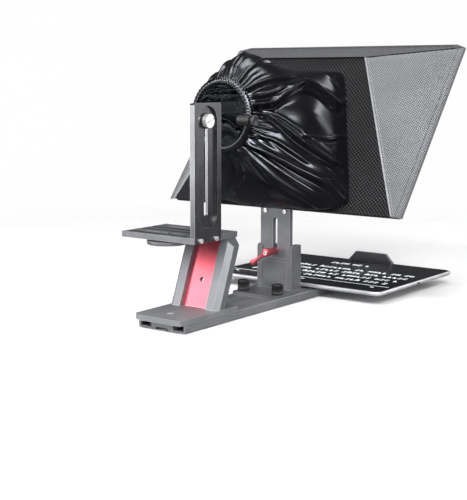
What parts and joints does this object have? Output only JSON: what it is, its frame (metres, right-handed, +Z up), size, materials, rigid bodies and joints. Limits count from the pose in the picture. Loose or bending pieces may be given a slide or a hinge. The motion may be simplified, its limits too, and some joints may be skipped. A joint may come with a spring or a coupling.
{
  "type": "teleprompter",
  "caption": "Rail-mounted tablet teleprompter: camera riser with upright plate, height-adjustable column, beam-splitter glass with fabric hood and lens shroud, sprung tablet holder.",
  "frame": {"origin": "centre of the large tripod socket, level with the underside of the base rail", "axes": "+X to the right and +Y forwards (from the camera towards the presenter), +Z up, out of the top of the rail"},
  "size_m": [0.376, 0.5079, 0.3437],
  "materials": {
    "anodised_dark": "black anodised, fine matt",
    "anodised_grey": "grey anodised, satin",
    "anodised_red": "red anodised, satin gloss",
    "steel": "bright nickel-plated",
    "black_plastic": "fine moulded",
    "rubber": "matt",
    "glass": "part-silvered beam splitter",
    "hood_cloth": "grey woven oxford cloth",
    "hood_rear_cloth": "black woven oxford cloth",
    "shroud_satin": "glossy black satin",
    "cord": "braided",
    "tablet_metal": "bead-blasted silver",
    "tablet_screen": "black cover glass",
    "electronics": "circuit board and cells"
  },
  "bodies": {
    "base": {"base_rail": "anodised_dark", "tripod_insert": "steel", "rod_bushes": "black_plastic", "clamp_nuts": "steel", "jaw_spring_left": "steel", "jaw_spring_right": "steel", "near_stop": "anodised_dark", "near_stop_pad": "rubber", "rest_pads": "rubber", "column_bracket": "anodised_dark"},
    "riser": {"riser_foot": "anodised_dark", "riser_frame": "anodised_grey", "riser_panel": "anodised_red", "riser_lock_screw": "steel", "riser_lock_nut": "steel", "camera_platform": "anodised_grey", "platform_pads": "rubber", "side_plate": "anodised_dark", "side_plate_screws": "steel"},
    "camera_screw_washer": {"camera_screw_washer": "black_plastic"},
    "camera_screw": {"camera_screw": "anodised_grey"},
    "side_screw_washer": {"side_screw_washer": "black_plastic"},
    "side_camera_screw": {"side_camera_screw": "steel"},
    "lock_lever": {"lock_lever": "anodised_red", "lock_bolt": "steel"},
    "knob_left": {"clamp_knob_left": "black_plastic"},
    "knob_right": {"clamp_knob_right": "black_plastic"},
    "column": {"column_slider": "anodised_grey", "slider_screws": "steel", "tilt_bracket": "anodised_dark", "tilt_pin": "steel"},
    "glass_frame": {"frame_bottom_rail": "anodised_dark", "frame_top_rail": "anodised_dark", "frame_left_rail": "anodised_dark", "frame_right_rail": "anodised_dark", "frame_corners": "black_plastic", "frame_hinge_lug": "anodised_dark", "glass_gasket": "rubber", "beam_splitter": "glass"},
    "hood": {"hood_rear_panel": "hood_rear_cloth", "hood_top_panel": "hood_cloth", "hood_left_panel": "hood_cloth", "hood_right_panel": "hood_cloth", "lens_shroud": "shroud_satin", "draw_cord": "cord"},
    "cord_lock": {"cord_lock_barrel": "black_plastic"},
    "cord_lock_button": {"cord_lock_button": "black_plastic"},
    "jaw": {"guide_rods": "steel", "jaw_crossbar": "anodised_dark", "far_jaw": "anodised_dark", "jaw_pad": "rubber"},
    "tablet": {"tablet_shell": "tablet_metal", "tablet_glass": "tablet_screen", "tablet_display": "tablet_screen", "tablet_battery": "electronics", "tablet_board": "electronics"},
    "power_button": {"power_button": "tablet_metal"},
    "volume_button": {"volume_button": "tablet_metal"}
  },
  "joints": [
    {"name": "riser_slide", "type": "slide", "parent": "base", "child": "riser", "axis": [0, 1, 0], "range_m": [-0.008, 0.045]},
    {"name": "camera_screw_slide", "type": "slide", "parent": "riser", "child": "camera_screw_washer", "axis": [1, 0, 0], "range_m": [-0.035, 0.02]},
    {"name": "camera_screw_turn", "type": "hinge", "parent": "camera_screw_washer", "child": "camera_screw", "pos_m": [-0.028, -0.133, 0.1], "axis": [0, 0, 1], "continuous": true},
    {"name": "side_screw_slide", "type": "slide", "parent": "riser", "child": "side_screw_washer", "axis": [0, 0, 1], "range_m": [-0.11, 0]},
    {"name": "side_screw_turn", "type": "hinge", "parent": "side_screw_washer", "child": "side_camera_screw", "pos_m": [0.028, -0.125, 0.248], "axis": [1, 0, 0], "continuous": true},
    {"name": "lever_turn", "type": "hinge", "parent": "base", "child": "lock_lever", "pos_m": [0, 0.04, 0.067], "axis": [0, 1, 0], "range_deg": [-100, 0]},
    {"name": "knob_left_turn", "type": "hinge", "parent": "base", "child": "knob_left", "pos_m": [-0.028, 0.024, 0.02], "axis": [0, 0, 1], "continuous": true},
    {"name": "knob_right_turn", "type": "hinge", "parent": "base", "child": "knob_right", "pos_m": [0.028, 0.024, 0.02], "axis": [0, 0, 1], "continuous": true},
    {"name": "column_height", "type": "slide", "parent": "base", "child": "column", "axis": [0, 0, 1], "range_m": [-0.034, 0]},
    {"name": "glass_tilt", "type": "hinge", "parent": "column", "child": "glass_frame", "pos_m": [0, 0.071, 0.114], "axis": [1, 0, 0], "range_deg": [-50, 0]},
    {"name": "hood_lift_off", "type": "slide", "parent": "glass_frame", "child": "hood", "axis": [0, 0, 1], "range_m": [0, 0.08]},
    {"name": "cord_lock_slide", "type": "slide", "parent": "hood", "child": "cord_lock", "axis": [1, 0, 0], "range_m": [0, 0.012]},
    {"name": "cord_lock_press", "type": "slide", "parent": "cord_lock", "child": "cord_lock_button", "axis": [-1, 0, 0], "range_m": [0, 0.003], "stiffness_N_per_m": 300, "springref_m": -0.003},
    {"name": "jaw_slide", "type": "slide", "parent": "base", "child": "jaw", "axis": [0, 1, 0], "range_m": [0, 0.03], "stiffness_N_per_m": 250, "springref_m": -0.03, "deforming": ["jaw_spring_left", "jaw_spring_right"]},
    {"name": "tablet_lift", "type": "slide", "parent": "base", "child": "tablet", "axis": [0, 0, 1], "range_m": [0, 0.06]},
    {"name": "power_press", "type": "slide", "parent": "tablet", "child": "power_button", "axis": [1, 0, 0], "range_m": [0, 0.0005], "stiffness_N_per_m": 1500, "springref_m": -0.0005},
    {"name": "volume_press", "type": "slide", "parent": "tablet", "child": "volume_button", "axis": [0, -1, 0], "range_m": [0, 0.0005], "stiffness_N_per_m": 1500, "springref_m": -0.0005}
  ]
}
